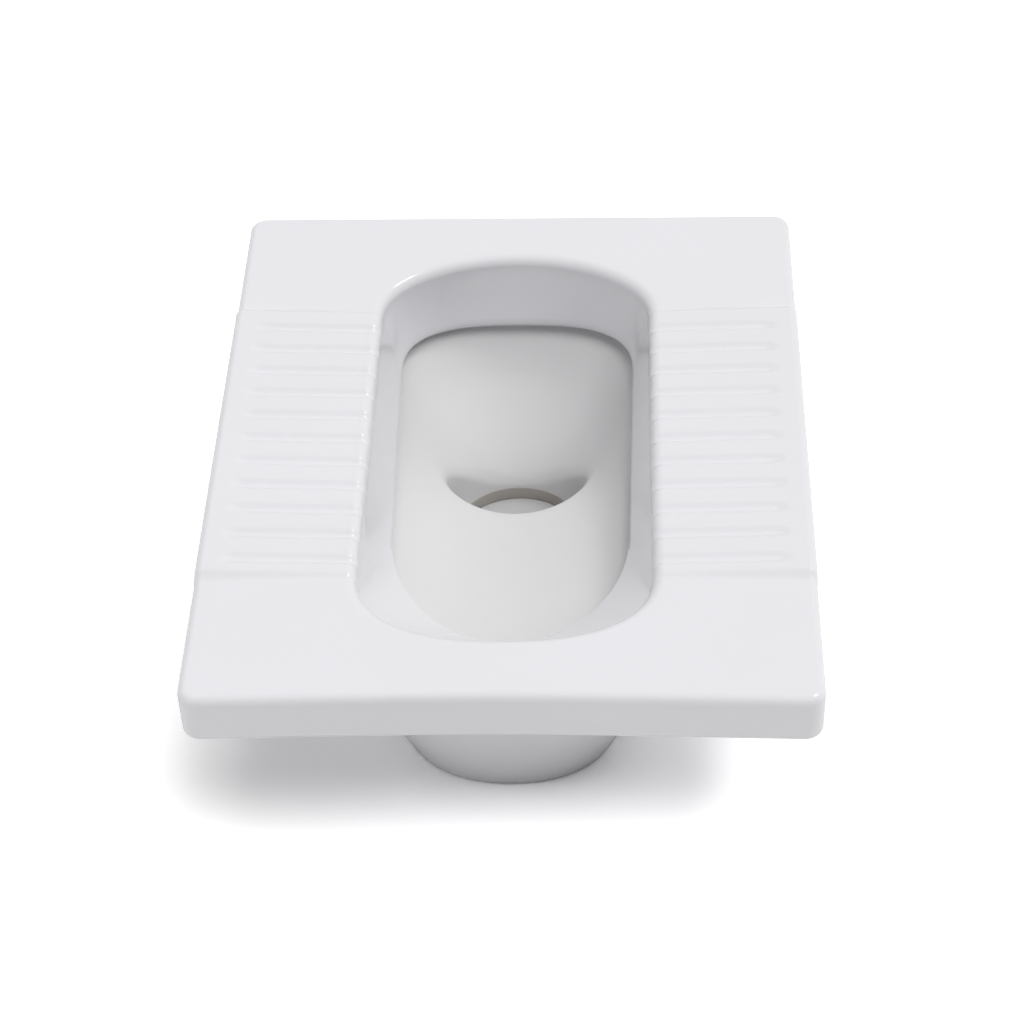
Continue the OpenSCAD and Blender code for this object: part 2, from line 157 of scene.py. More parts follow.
class PanBowl(bpy.types.PropertyGroup):
    """Sizes of the bowl and its drain."""

    wall: length("Wall", "Thickness of the bowl", 0.010)
    gap: length("Gap", "How far the bowl's rim stands outside the lip", 0.010)
    front_gap: length("Front gap", "Height of the gap under the lip, in front", 0.004)
    back_gap: length("Back gap", "Height of the gap under the lip, at the back", 0.0045)
    channel_fall: length("Channel fall", "Fall of the flush channel's floor at the back", 0.016)
    shelf_drop: length("Shelf", "Depth of the shelf's edge below the lip", 0.040)
    scoop_height: length("Scoop", "Height at which the back wall meets the throat", 0.018)
    shelf_slope: number("Shelf slope", "Share of the shelf's rise made as a plain slope", 0.69)
    back_slope: number("Back slope", "Share of the back wall's rise made as a plain slope", 0.85)
    shelf_bend: number("Shelf bend", "How late the shelf turns up to its rim", 12)
    back_bend: number("Back bend", "How late the back wall turns up to its rim", 4)
    back_dish: number("Back dish", "How far the back wall's slope is dished", 0.22)
    edge_power: number("Edge power", "How soon the drain's edge drops behind the shelf", 2.2)
    blend: length("Blend", "Softness of the change from round to rim shape", 0.004)
    drain_in: length("Drain", "Distance from the drain's centre to the opening's back end", 0.154)
    throat: length("Throat", "Radius of the throat at the shelf's edge", 0.065)
    outlet_wall: length("Outlet wall", "Thickness of the outlet", 0.010)
    lip_round: length("Drain lip", "Length of the rounding into the throat", 0.006)
    inlet_wall: length("Inlet wall", "Thickness of the flush inlet", 0.007)


class PanBase(bpy.types.PropertyGroup):
    """Sizes of the base."""

    wall: length("Wall", "Thickness of the base", 0.012)
    foot_width: length("Foot width", "Width of the base on the floor", 0.184)
    foot_front_in: length("Foot front", "How far the foot's front end stands in", 0.018)
    foot_back_in: length("Foot back", "How far the foot's back end stands in", 0.021)
    foot_end: length("Foot end", "Length of the foot's round ends", 0.080)
    foot_power: number("Foot power", "Fullness of the foot's ends: 2 is round", 2.2)
    flange: length("Flange", "How far the foot turns in under the pan", 0.012)
    channel: length("Channel", "Width of the flush channel behind the apron", 0.011)
    front_room: length("Front room", "Width of the flush channel at its front end", 0.003)
    flare: number("Flare", "How soon the base's sides swell out", 1.2)
    foot_round: length("Foot edge", "Rounding of the base's lower edge", 0.002)


class PanGlaze(bpy.types.PropertyGroup):
    """Colours and gloss of the glazes; the bowl's colour is darkened as painted shade, and the
    body's partly so.
    """

    china: FloatVectorProperty(
        name="China glaze", description="Colour of the glaze on deck and base",
        default=(0.85, 0.845, 0.877), subtype="COLOR", size=3)
    # painted shade: the pan's white glaze, darkened to stand in for the shade in the hollow bowl
    bowl: FloatVectorProperty(
        name="Bowl glaze", description="Colour of the glaze in the bowl",
        default=(0.715, 0.713, 0.72), subtype="COLOR", size=3)
    # the thinly glazed body's dull tone, darkened further as painted shade where it is seen inside
    # the outlet
    body: FloatVectorProperty(
        name="Fired body", description="Colour of the thinly glazed fired body",
        default=(0.52, 0.49, 0.46), subtype="COLOR", size=3)
    roughness: FloatProperty(
        name="Roughness", description="Roughness of the glaze", default=0.13, subtype="FACTOR")


class PanCamera(bpy.types.PropertyGroup):
    """Place and aim of the camera, fitted to the photograph."""

    lens: number("Lens", "Focal length in mm on a sensor 36 mm wide", 92.23)
    place: FloatVectorProperty(
        name="Place", description="Where the camera stands",
        default=(0.08979, -1.653, 1.69175), subtype="TRANSLATION", unit="LENGTH", size=3)
    pitch: FloatProperty(
        name="Pitch", description="How far the camera looks down",
        default=math.radians(43.72), unit="ROTATION")
    yaw: FloatProperty(
        name="Yaw", description="How far the camera is turned to the right",
        default=math.radians(-3.15), unit="ROTATION")
    roll: FloatProperty(
        name="Roll", description="How far the camera leans over",
        default=math.radians(-2.33), unit="ROTATION")


class PanStudio(bpy.types.PropertyGroup):
    """Light of the studio, and the painted shade on the floor under the outlet."""

    key: number("Key", "Strength of the broad light behind on the right", 1.40)
    right: number("Right", "Strength of the light high on the right", 1.02)
    front: number("Front", "Strength of the light high in front", 0.50)
    low: number("Low", "Strength of the light low on the left", 0.60)
    glint: number("Glint", "Strength of the small light seen in the gloss", 0.45)
    around: number("Around", "Brightness of the studio as the gloss mirrors it", 0.6)
    floor: number("Floor", "How much whiter the floor is seen than it is", 1.7)
    # painted shade: share of the floor's white left in the darkened disc under the outlet
    drain: number("Drain", "Share of the floor's white left under the outlet", 0.30)


class PanSettings(bpy.types.PropertyGroup):
    """All sizes and colours of the pan."""

    deck: PointerProperty(type=PanDeck)
    treads: PointerProperty(type=PanTreads)
    apron: PointerProperty(type=PanApron)
    bowl: PointerProperty(type=PanBowl)
    base: PointerProperty(type=PanBase)
    glaze: PointerProperty(type=PanGlaze)
    camera: PointerProperty(type=PanCamera)
    studio: PointerProperty(type=PanStudio)


# Curves ----------------------------------------------------------------------------------


def mix(a, b, t):
    """From a to b, as t goes from 0 to 1."""
    return a + (b - a) * t


def smooth(t):
    """0 before 0, 1 after 1, and an even S between them."""
    t = min(max(t, 0.0), 1.0)
    return t * t * (3 - 2 * t)


def power(value, exponent):
    """A power that keeps the sign of its value."""
    return math.copysign(abs(value) ** exponent, value)


def soft_min(a, b, soft):
    """The smaller of two values, with a round change from one to the other."""
    return (a + b - math.hypot(a - b, soft)) / 2


def mix_outline(a, b, t):
    """An outline part of the way from one to another."""
    return Outline(*(mix(p, q, t) for p, q in zip(a, b)))


def grow(o, d):
    """The outline moved outwards by d."""
    return o._replace(
        front_half=o.front_half + d, back_half=o.back_half + d,
        front_end=o.front_end + d, back_end=o.back_end + d)


def on_outline(o, u):
    """Point of an outline: u counts its back end, left side, front end and right side."""
    u %= 4
    turn = math.pi * (u % 1)
    if u < 1:
        return (
            o.back_half * power(math.cos(turn), 2 / o.back_power),
            o.back_y + o.back_end * power(math.sin(turn), 2 / o.back_power))
    if u < 2:
        return (mix(-o.back_half, -o.front_half, u - 1), mix(o.back_y, o.front_y, u - 1))
    if u < 3:
        return (
            -o.front_half * power(math.cos(turn), 2 / o.front_power),
            o.front_y - o.front_end * power(math.sin(turn), 2 / o.front_power))
    return (mix(o.front_half, o.back_half, u - 3), mix(o.front_y, o.back_y, u - 3))


def evenly(path, start, end, count):
    """Parameters that cut path(u), from start to end, into pieces of one length."""
    fine = 12 * count
    params = [mix(start, end, k / fine) for k in range(fine + 1)]
    points = [path(u) for u in params]
    run = [0.0]
    for a, b in zip(points, points[1:]):
        run.append(run[-1] + math.dist(a, b))
    steps = []
    j = 0
    for k in range(count):
        goal = run[-1] * k / count
        while run[j + 1] < goal:
            j += 1
        t = (goal - run[j]) / (run[j + 1] - run[j])
        steps.append(mix(params[j], params[j + 1], t))
    return steps


def even_steps(o, count):
    """Even parameters of an outline, from the middle of its right side and back to it."""
    half = count // 2
    return (
        evenly(lambda u: on_outline(o, u), 3.5, 5.5, half)
        + evenly(lambda u: on_outline(o, u), 5.5, 7.5, half))


def ring(o, steps, z):
    """Points of an outline at one height."""
    return [(*on_outline(o, u), z) for u in steps]


def opening_outline(s):
    """The opening between the apron's walls."""
    seam = s.apron.seam
    half = APRON_HIGH[0] - seam
    end = s.apron.opening_end
    return Outline(
        half, half, APRON_LOW[1] + seam + end, end, s.apron.opening_power,
        APRON_HIGH[1] - seam - end, end, 2)


def lip_outline(s):
    """The apron's lower lip."""
    front_end, back_end = s.apron.lip_front_end, s.apron.lip_back_end
    half = s.apron.lip_width / 2
    front = APRON_LOW[1] + s.apron.seam + s.apron.lip_front_in
    back = APRON_HIGH[1] - s.apron.seam - s.apron.lip_back_in
    return Outline(
        half - s.apron.lip_taper / 2, half, front + front_end, front_end, 2,
        back - back_end, back_end, s.apron.lip_back_power)


def base_outline(s, z):
    """The base at a height: it swells from its foot to the deck plate."""
    opening = opening_outline(s)
    half, end, fullness = s.base.foot_width / 2, s.base.foot_end, s.base.foot_power
    foot = Outline(
        half, half,
        opening.front_y - opening.front_end + s.base.foot_front_in + end, end, fullness,
        opening.back_y + opening.back_end - s.base.foot_back_in - end, end, fullness)
    wall = s.apron.wall + s.base.channel + s.base.wall
    top = opening._replace(
        front_half=opening.front_half + wall, back_half=opening.back_half + wall,
        front_end=opening.front_end + s.apron.wall + s.base.front_room + s.base.wall,
        back_end=opening.back_end + wall)
    plate_z = DECK_HIGH[2] - s.deck.wall
    return mix_outline(foot, top, 1 - (1 - min(z / plate_z, 1.0)) ** s.base.flare)


# Modelling -------------------------------------------------------------------------------


def sweep(name, rings, looped=True, capped=False):
    """A skin drawn by extruding a ring of points from place to place.

    looped closes each ring, and a sweep that ends where it starts closes on itself.
    """
    bpy.ops.object.select_all(action="DESELECT")
    bpy.ops.mesh.primitive_circle_add(vertices=len(rings[0]), radius=0.1)
    piece = bpy.context.object
    piece.name = name
    piece.data.name = name
    bpy.ops.object.mode_set(mode="EDIT")
    bm = bmesh.from_edit_mesh(piece.data)
    place = bm.verts.layers.int.new("place")
    bm.verts.ensure_lookup_table()
    for k, vert in enumerate(bm.verts):
        vert[place] = k
        vert.co = rings[0][k]
    if not looped:
        last, first = bm.verts[len(rings[0]) - 1], bm.verts[0]
        bm.edges.remove(bm.edges.get((last, first)))
    bmesh.update_edit_mesh(piece.data)
    for points in rings[1:]:
        bpy.ops.mesh.extrude_region_move()
        bm = bmesh.from_edit_mesh(piece.data)
        place = bm.verts.layers.int["place"]
        for vert in bm.verts:
            if vert.select:
                vert.co = points[vert[place]]
    bmesh.update_edit_mesh(piece.data)
    bpy.ops.mesh.select_all(action="SELECT")
    bpy.ops.mesh.remove_doubles(threshold=1e-6)
    if capped:
        bpy.ops.mesh.select_all(action="DESELECT")
        bpy.ops.mesh.select_non_manifold(extend=False)
        bpy.ops.mesh.edge_face_add()
    bpy.ops.mesh.select_all(action="SELECT")
    bpy.ops.mesh.normals_make_consistent(inside=False)
    bpy.ops.object.mode_set(mode="OBJECT")
    piece.data.attributes.remove(piece.data.attributes["place"])
    return piece


def cut(piece, tool):
    """Takes the tool's shape out of the piece."""
    boolean = piece.modifiers.new("Cut", "BOOLEAN")
    boolean.operation = "DIFFERENCE"
    boolean.solver = "EXACT"
    boolean.object = tool
    bpy.ops.object.select_all(action="DESELECT")
    bpy.context.view_layer.objects.active = piece
    piece.select_set(True)
    bpy.ops.object.modifier_apply(modifier=boolean.name)
    bpy.data.meshes.remove(tool.data)


def finish_piece(piece, nodes, glaze):
    """Smooths a piece, glazes it and puts it in the place of its nodes."""
    bpy.ops.object.select_all(action="DESELECT")
    bpy.context.view_layer.objects.active = piece
    piece.select_set(True)
    bpy.ops.object.shade_smooth_by_angle(angle=SMOOTH_ANGLE)
    piece.data.materials.clear()
    piece.data.materials.append(glaze)
    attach(piece, "root")
    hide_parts(*nodes)


def turned(name, profile, centre, axis):
    """A tube or collar turned from a profile of (radius, distance along its axis)."""
    rings = []
    for radius, along in profile + [profile[0]]:
        points = []
        for k in range(TURNED_POINTS):
            a = 2 * math.pi * k / TURNED_POINTS
            x, y = radius * math.cos(a), radius * math.sin(a)
            spot = (x, y, along) if axis == "Z" else (x, along, y)
            points.append(tuple(c + p for c, p in zip(centre, spot)))
        rings.append(points)
    return sweep(name, rings)


def curve(start, corner, end, steps):
    """Points from start to end, on a curve that the corner draws to itself."""
    out = []
    for k in range(steps + 1):
        t = k / steps
        out.append(tuple(
            mix(mix(p, q, t), mix(q, r, t), t) for p, q, r in zip(start, corner, end)))
    return out


def soft_corners(profile, radius, steps=4):
    """The profile with each of its corners rounded off."""
    out = []
    for k, corner in enumerate(profile):
        ends = []
        for other in (profile[k - 1], profile[(k + 1) % len(profile)]):
            share = min(radius / math.dist(corner, other), 0.5)
            ends.append([mix(c, o, share) for c, o in zip(corner, other)])
        out += curve(ends[0], corner, ends[1], steps)
    return out


# The treads' relief ----------------------------------------------------------------------


def tread_rise(s, x):
    """Height of a tread's top over the deck at a distance from the centre line."""
    inner = APRON_HIGH[0]
    outer = TREAD_HIGH[0] - s.deck.edge_round
    full = TREAD_HIGH[2] - DECK_HIGH[2]
    return full - s.treads.fall * min(max((outer - x) / (outer - inner), 0.0), 1.0)


def tread_window(s, y):
    """1 over a tread, and 0 before and behind it."""
    return (
        smooth((y - TREAD_LOW[1]) / s.treads.ramp)
        * smooth((TREAD_HIGH[1] - y) / s.treads.step))


def groove_cut(s, x, y):
    """Depth of the grooves at a place of a tread."""
    middle = (TREAD_LOW[1] + TREAD_HIGH[1]) / 2
    index = round((y - middle) / s.treads.pitch)
    if abs(index) > (s.treads.count - 1) / 2:
        return 0.0
    off = abs(y - middle - index * s.treads.pitch) / (s.treads.width / 2)
    if off >= 1:
        return 0.0
    end = DECK_HIGH[0] - s.treads.margin
    run_out = 1 - smooth((x - (end - s.treads.fade)) / s.treads.fade)
    return s.treads.depth * run_out * math.cos(off * math.pi / 2) ** 2


def end_cut(s, y):
    """Depth of the two soft valleys across the ends of a tread."""
    cut_depth = 0.0
    for middle, half in ((TREAD_LOW[1] + s.treads.ramp / 2, s.treads.ramp / 2),
                         (TREAD_HIGH[1] - s.treads.step, s.treads.step)):
        off = abs(y - middle) / half
        if off < 1:
            cut_depth += s.treads.valley * math.cos(off * math.pi / 2) ** 2
    return cut_depth


def relief(s, x, y):
    """Height of the treads' surface over the deck's top."""
    window = tread_window(s, y)
    return tread_rise(s, x) * window - groove_cut(s, x, y) - end_cut(s, y)


# Pieces ----------------------------------------------------------------------------------


def on_deck(s, inset, u):
    """Point of the deck's outline: u counts half a side, then corners and sides in turn."""
    x = DECK_HIGH[0] - s.deck.corner_round
    y = DECK_HIGH[1] - s.deck.corner_round
    reach = s.deck.corner_round - inset
    kind, t = int(u), u % 1
    corners = {1: (x, y, 0), 3: (-x, y, 90), 5: (-x, -y, 180), 7: (x, -y, 270)}
    if kind in corners:
        cx, cy, start = corners[kind]
        turn = math.radians(start + 90 * t)
        return (cx + reach * math.cos(turn), cy + reach * math.sin(turn))
    if kind == 0:
        return (x + reach, y * t)
    if kind == 2:
        return (mix(x, -x, t), y + reach)
    if kind == 4:
        return (-x - reach, mix(y, -y, t))
    if kind == 6:
        bow = s.deck.front_bow * (1 - abs(2 * t - 1) ** s.deck.bow_power)
        return (mix(-x, x, t), -y - reach + bow)
    return (x + reach, mix(-y, 0, t))


def make_deck(s):
    """The plate with its skirt, cut out where the treads are seated."""
    top, low = DECK_HIGH[2], DECK_LOW[2]
    plate_z = top - s.deck.wall
    r, hem, wall = s.deck.edge_round, s.deck.hem_round, s.deck.wall
    seam = grow(opening_outline(s), s.apron.seam)
    seam_steps = even_steps(seam, RING_POINTS)
    half = RING_POINTS // 2
    deck_steps = (
        evenly(lambda u: on_deck(s, 0, u), 0, 4.5, half)
        + evenly(lambda u: on_deck(s, 0, u), 4.5, 9, half))

    def rim(inset, z):
        return [(*on_deck(s, inset, u), z) for u in deck_steps]

    quarter = [math.pi / 2 * k / ROUND_STEPS for k in range(ROUND_STEPS + 1)]
    rings = [ring(seam, seam_steps, top), ring(grow(seam, HOLD), seam_steps, top)]
    rings += [rim(r + HOLD, top)]
    rings += [rim(r * (1 - math.sin(a)), top - r * (1 - math.cos(a))) for a in quarter]
    rings += [rim(0, top - r - HOLD), rim(0, low + hem + HOLD)]
    rings += [rim(hem * (1 - math.cos(a)), low + hem * (1 - math.sin(a))) for a in quarter]
    rings += [rim(wall - hem / 2, low), rim(wall, low + hem / 2)]
    rings += [rim(wall, plate_z - hem), rim(wall + hem, plate_z)]
    rings += [ring(seam, seam_steps, plate_z), ring(seam, seam_steps, top)]
    deck = sweep("china_deck", rings)
    for side in (1, -1):
        cut(deck, tread_tool(s, side))
    return deck


def tread_tool(s, side):
    """The space of one tread: its seat in the plate and its wrap over the deck's side."""
    inner_x, seat = APRON_HIGH[0] / 2, DECK_HIGH[2] - s.treads.sink
    wrap_x = DECK_HIGH[0] - s.treads.sink
    outer_x, over = CLEAR * TREAD_HIGH[0], CLEAR * DECK_HIGH[2]
    profile = [
        (inner_x, seat), (wrap_x - s.treads.sink, seat), (wrap_x, seat - s.treads.sink),
        (wrap_x, TREAD_LOW[2]), (outer_x, TREAD_LOW[2]), (outer_x, over), (inner_x, over)]
    rings = [[(side * x, y, z) for x, z in profile] for y in (TREAD_LOW[1], TREAD_HIGH[1])]
    return sweep("Tread space", rings, capped=True)


def make_tread(s, name, side):
    """A tread: a row of points from front to back, swept round its cross-section."""
    top = DECK_HIGH[2]
    seat = top - s.treads.sink
    r = s.deck.edge_round
    proud = TREAD_HIGH[0] - DECK_HIGH[0]
    wrap_x = DECK_HIGH[0] - s.treads.sink
    seam = grow(opening_outline(s), s.apron.seam)
    inner = [on_outline(seam, u) for u in even_steps(seam, RING_POINTS)]
    inner = sorted((y, x) for x, y in inner if x > 0 and TREAD_LOW[1] < y < TREAD_HIGH[1])

    def seam_x(y):
        """The seam's distance from the centre line at an end of the tread, by halving."""
        # the right half of the seam's front end, or of its back end
        low, high = (2.5, 3.0) if y < seam.front_y else (4.0, 4.5)
        for _ in range(HALVINGS):
            middle = (low + high) / 2
            if on_outline(seam, middle)[1] < y:
                low = middle
            else:
                high = middle
        return on_outline(seam, low)[0]

    ends = [(y, seam_x(y)) for y in (TREAD_LOW[1], TREAD_HIGH[1])]
    rows = [ends[0]] + inner + [ends[1]]

    def outer(y):
        """How far out the tread's side stands, and how high its top is there."""
        window = tread_window(s, y)
        return DECK_HIGH[0] + proud * min(window * 2, 1), relief(s, DECK_HIGH[0], y)

    flat_end = DECK_HIGH[0] - r
    groove_end = DECK_HIGH[0] - s.treads.margin - s.treads.fade
    spans = ((APRON_HIGH[0], groove_end), (groove_end, flat_end))
    marks = [mix(a, b, k / TREAD_STEPS) for a, b in spans for k in range(TREAD_STEPS)]
    stations = []
    for mark in marks + [flat_end]:
        t = (mark - APRON_HIGH[0]) / (flat_end - APRON_HIGH[0])
        stations.append([
            (mix(x0, outer(y)[0] - r, t), y, top + relief(s, mix(x0, outer(y)[0] - r, t), y))
            for y, x0 in rows])
    for k in range(1, ROUND_STEPS + 1):
        a = math.pi / 2 * k / ROUND_STEPS
        stations.append([
            (outer(y)[0] - r * (1 - math.sin(a)), y, top + outer(y)[1] - r * (1 - math.cos(a)))
            for y, _ in rows])
    for in_by, up_by in ((0, 1), (1 / 3, 1 / 3), (1, 0)):
        stations.append([
            (outer(y)[0] - in_by * SMALL_ROUND, y, TREAD_LOW[2] + up_by * SMALL_ROUND)
            for y, _ in rows])
    for x, z in ((wrap_x, TREAD_LOW[2]), (wrap_x, seat - s.treads.sink),
                 (wrap_x - s.treads.sink, seat)):
        stations.append([(x, y, z) for y, _ in rows])
    stations.append([(x0, y, seat) for y, x0 in rows])
    stations.append(stations[0])
    stations = [[(side * x, y, z) for x, y, z in station] for station in stations]
    return sweep(name, stations, looped=False, capped=True)


def make_apron(s):
    """The rolled edge round the opening and the wall that hangs from it."""
    top, lip_z = DECK_HIGH[2], APRON_LOW[2]
    opening, lip = opening_outline(s), lip_outline(s)
    seam = grow(opening, s.apron.seam)
    steps = even_steps(seam, RING_POINTS)
    roll, wall = s.apron.roll, s.apron.wall
    inside = ring(opening, steps, top)
    outside = ring(seam, steps, top)
    treads_x, fade = 0.9 * APRON_HIGH[0], 1.5

    def lifted(points, tilt):
        """Points of the roll, raised along its face by the treads' relief."""
        out = []
        for point, near, far in zip(points, inside, outside):
            beside = abs(far[0]) > treads_x
            lift = relief(s, abs(far[0]), far[1]) * math.cos(tilt) ** fade if beside else 0.0
            reach = math.dist(near[:2], far[:2])
            away = [(n - f) / reach for n, f in zip(near[:2], far[:2])]
            out.append((
                point[0] + away[0] * lift * math.sin(tilt),
                point[1] + away[1] * lift * math.sin(tilt),
                point[2] + lift * math.cos(tilt)))
        return out

    rings = [lifted(outside, 0)]
    for k in range(ROLL_STEPS + 1):
        a = math.pi / 2 * k / ROLL_STEPS
        edge = ring(grow(opening, roll * (1 - math.sin(a))), steps, top - roll * (1 - math.cos(a)))
        rings.append(lifted(edge, a))
    lip_r = wall / 2
    for k in range(1, WALL_STEPS + 1):
        t = k / WALL_STEPS
        rings.append(ring(mix_outline(opening, lip, t), steps, mix(top - roll, lip_z + lip_r, t)))
    for k in range(1, 2 * ROUND_STEPS + 1):
        a = math.pi * k / (2 * ROUND_STEPS)
        edge = grow(lip, lip_r * (1 - math.cos(a)))
        rings.append(ring(edge, steps, lip_z + lip_r * (1 - math.sin(a))))
    back_steps = 6
    for k in range(1, back_steps + 1):
        t = k / back_steps
        back = grow(mix_outline(lip, opening, t), mix(wall, s.apron.seam, t))
        rings.append(ring(back, steps, mix(lip_z + lip_r, top - s.deck.wall, t)))
    rings.append(rings[0])
    return sweep("china_apron", rings)


def basin(s):
    """The bowl's rim, as an outline and as even points on it."""
    rim = grow(lip_outline(s), s.bowl.gap)
    return rim, [on_outline(rim, u) for u in even_steps(rim, BOWL_POINTS)]


def rim_height(s, y):
    """Height of the bowl's rim: level across, and falling to the back."""
    lip = lip_outline(s)
    front, back = lip.front_y - lip.front_end, lip.back_y + lip.back_end
    t = (y - front) / (back - front)
    return APRON_LOW[2] - mix(s.bowl.front_gap, s.bowl.back_gap, t)


def make_bowl(s):
    """The bowl: a section for every point of its rim, drawn in to the throat."""
    drain_y = APRON_HIGH[1] - s.apron.seam - s.bowl.drain_in
    outlet_y = (COLLAR_LOW[1] + COLLAR_HIGH[1]) / 2
    outlet_z = COLLAR_HIGH[2]
    outlet_r = (COLLAR_HIGH[0] - COLLAR_LOW[0]) / 2 - s.bowl.outlet_wall
    shelf_z = APRON_LOW[2] - s.bowl.shelf_drop
    wall = s.bowl.wall
    lip_steps, drop_steps, rise_steps, under_steps = 8, 6, 4, 10

    def throat_share(z):
        """0 at the outlet, 1 at the shelf's edge."""
        return (z - outlet_z) / (shelf_z - outlet_z)

    def throat_at(z):
        """Radius of the throat at a height."""
        return mix(outlet_r, s.bowl.throat, throat_share(z))

    rim = basin(s)[1]
    reach = [math.hypot(x, y - drain_y) for x, y in rim]
    spread = len(rim) // 10
    round_reach = [
        sum(reach[(k + j) % len(rim)] for j in range(-spread, spread + 1)) / (2 * spread + 1)
        for k in range(len(rim))]
    sections = []
    for (x, y), dist, mean in zip(rim, reach, round_reach):
        mean = soft_min(mean, dist, s.bowl.blend)
        way = (x / dist, (y - drain_y) / dist)
        near = (1 - way[1]) / 2
        edge_z = mix(s.bowl.scoop_height, shelf_z, 1 - (1 - near) ** s.bowl.edge_power)
        edge_r = throat_at(edge_z)
        share = mix(s.bowl.back_slope, s.bowl.shelf_slope, near)
        bend = mix(s.bowl.back_bend, s.bowl.shelf_bend, near ** 2)
        dish = 1 - s.bowl.back_dish * (1 - near) ** 2
        rise = rim_height(s, y) - edge_z

        def surface(h):
            """Radius and height of the bowl's face, from the drain's edge out to the rim."""
            return (
                mix(edge_r, mix(mean, dist, h ** 2), h),
                edge_z + rise * (share * h ** dish + (1 - share) * h ** bend))

        def offset(h):
            """Radius and height of the bowl's underside, a wall away from its face."""
            (r0, z0), (r1, z1) = surface(max(h - NUDGE, 0)), surface(min(h + NUDGE, 1))
            size = math.dist((r0, z0), (r1, z1))
            r, z = surface(h)
            return (min(r + wall * (z1 - z0) / size, dist), z - wall * (r1 - r0) / size)

        soft = min(s.bowl.lip_round, (edge_z - outlet_z) / 2)
        start = soft / (mean - edge_r)
        inside = [
            surface(mix(start, 1, 1 - (k / BOWL_STEPS) ** CROWDING))
            for k in range(BOWL_STEPS + 1)]
        low = (throat_at(edge_z - soft), edge_z - soft)
        bendover = curve(inside[-1], surface(0), low, lip_steps)[1:]
        drop = [mix(low[1], outlet_z, k / drop_steps) for k in range(1, drop_steps + 1)]
        rise_back = [mix(outlet_z, low[1], k / rise_steps) for k in range(rise_steps)]
        section = inside + bendover + [(throat_at(z), z) for z in drop]
        section += [(throat_at(z) + wall, z) for z in rise_back]
        section += [offset(mix(*UNDERSIDE, k / under_steps)) for k in range(under_steps + 1)]
        section.append((dist, surface(1)[1] - wall))
        sections.append([
            (way[0] * r, mix(outlet_y, drain_y, min(throat_share(z), 1)) + way[1] * r, z)
            for r, z in section])
    rings = [list(level) for level in zip(*sections)]
    rings.append(rings[0])
    return sweep("china_bowl", rings)


def make_channel(s):
    """The floor of the flush channel, from the bowl's rim out to the base."""
    rim, _ = basin(s)
    steps = even_steps(rim, BOWL_POINTS)
    inner = [on_outline(grow(rim, FIT), u) for u in steps]
    wall = s.bowl.wall

    lip = lip_outline(s)
    front, back = lip.front_y - lip.front_end, lip.back_y + lip.back_end

    def outer(drop):
        """Points beside the base, where the floor falls away to the back."""
        out = []
        for u in steps:
            z = rim_height(s, 0)
            for _ in range(4):  # the base's place and the floor's height settle each other
                x, y = on_outline(grow(base_outline(s, z - drop), -s.base.wall - 2 * FIT), u)
                z = rim_height(s, y) - s.bowl.channel_fall * (y - front) / (back - front)
            out.append((x, y, z - drop))
        return out

    def edge(drop):
        return [(x, y, rim_height(s, y) - drop) for x, y in inner]

    return sweep("china_channel", [outer(0), edge(0), edge(wall), outer(wall), outer(0)])


def make_base(s):
    """The base: a tub that swells from the floor to the deck plate."""
    plate_z = DECK_HIGH[2] - s.deck.wall
    steps = even_steps(base_outline(s, plate_z), BASE_POINTS)
    soft = s.base.foot_round
    rings = []
    for k in range(FOOT_STEPS + 1):
        a = math.pi / 2 * k / FOOT_STEPS
        z = soft * (1 - math.sin(a))
        rings.append(ring(grow(base_outline(s, z), -soft * (1 - math.cos(a))), steps, z))
    rings.reverse()
    heights = [mix(2 * soft, plate_z, k / BASE_STEPS) for k in range(BASE_STEPS + 1)]
    rings += [ring(base_outline(s, z), steps, z) for z in heights]
    rings += [ring(grow(base_outline(s, z), -s.base.wall), steps, z) for z in heights[::-2]]
    rings += [ring(grow(base_outline(s, 0), -s.base.wall), steps, 0), rings[0]]
    base = sweep("china_base", rings)
    pipe_r = (INLET_HIGH[0] - INLET_LOW[0]) / 2
    pipe_z = (INLET_LOW[2] + INLET_HIGH[2]) / 2
    turns = [2 * math.pi * k / PIPE_POINTS for k in range(PIPE_POINTS)]
    circles = [
        [(pipe_r * math.cos(a), y, pipe_z + pipe_r * math.sin(a)) for a in turns]
        for y in (DECK_HIGH[1] / 2, DECK_HIGH[1])]
    cut(base, sweep("Pipe space", circles, capped=True))
    return base


def make_foot(s):
    """The flat ring that turns in round the bottom of the base."""
    steps = even_steps(base_outline(s, 0), BASE_POINTS)
    thick, inner = FOOT_HIGH[2] - FOOT_LOW[2], s.base.flange - FIT
    profile = soft_corners([(FIT, 0), (inner, 0), (inner, thick), (FIT, thick)], SMALL_ROUND)
    rings = []
    for inset, z in profile + [profile[0]]:
        lean = z if inset < s.base.flange / 2 else 0.0
        rings.append(ring(grow(base_outline(s, lean), -s.base.wall - inset), steps, z))
    return sweep("china_foot", rings)


def make_collar(s):
    """The straight outlet tube under the throat."""
    outer = (COLLAR_HIGH[0] - COLLAR_LOW[0]) / 2
    inner = outer - s.bowl.outlet_wall
    height = COLLAR_HIGH[2]
    centre = (0, (COLLAR_LOW[1] + COLLAR_HIGH[1]) / 2, 0)
    profile = [(inner, height), (outer, height), (outer, 0.0), (inner, 0.0)]
    return turned("china_outlet", soft_corners(profile, SMALL_ROUND), centre, "Z")


def make_inlet(s):
    """The horn for the flush pipe, at the back."""
    outer = (INLET_HIGH[0] - INLET_LOW[0]) / 2
    inner = outer - s.bowl.inlet_wall
    length = INLET_HIGH[1] - INLET_LOW[1]
    centre = (0, INLET_LOW[1], (INLET_LOW[2] + INLET_HIGH[2]) / 2)
    profile = [(inner, 0.0), (outer, 0.0), (outer, length), (inner, length)]
    return turned("china_inlet", soft_corners(profile, SMALL_ROUND), centre, "Y")


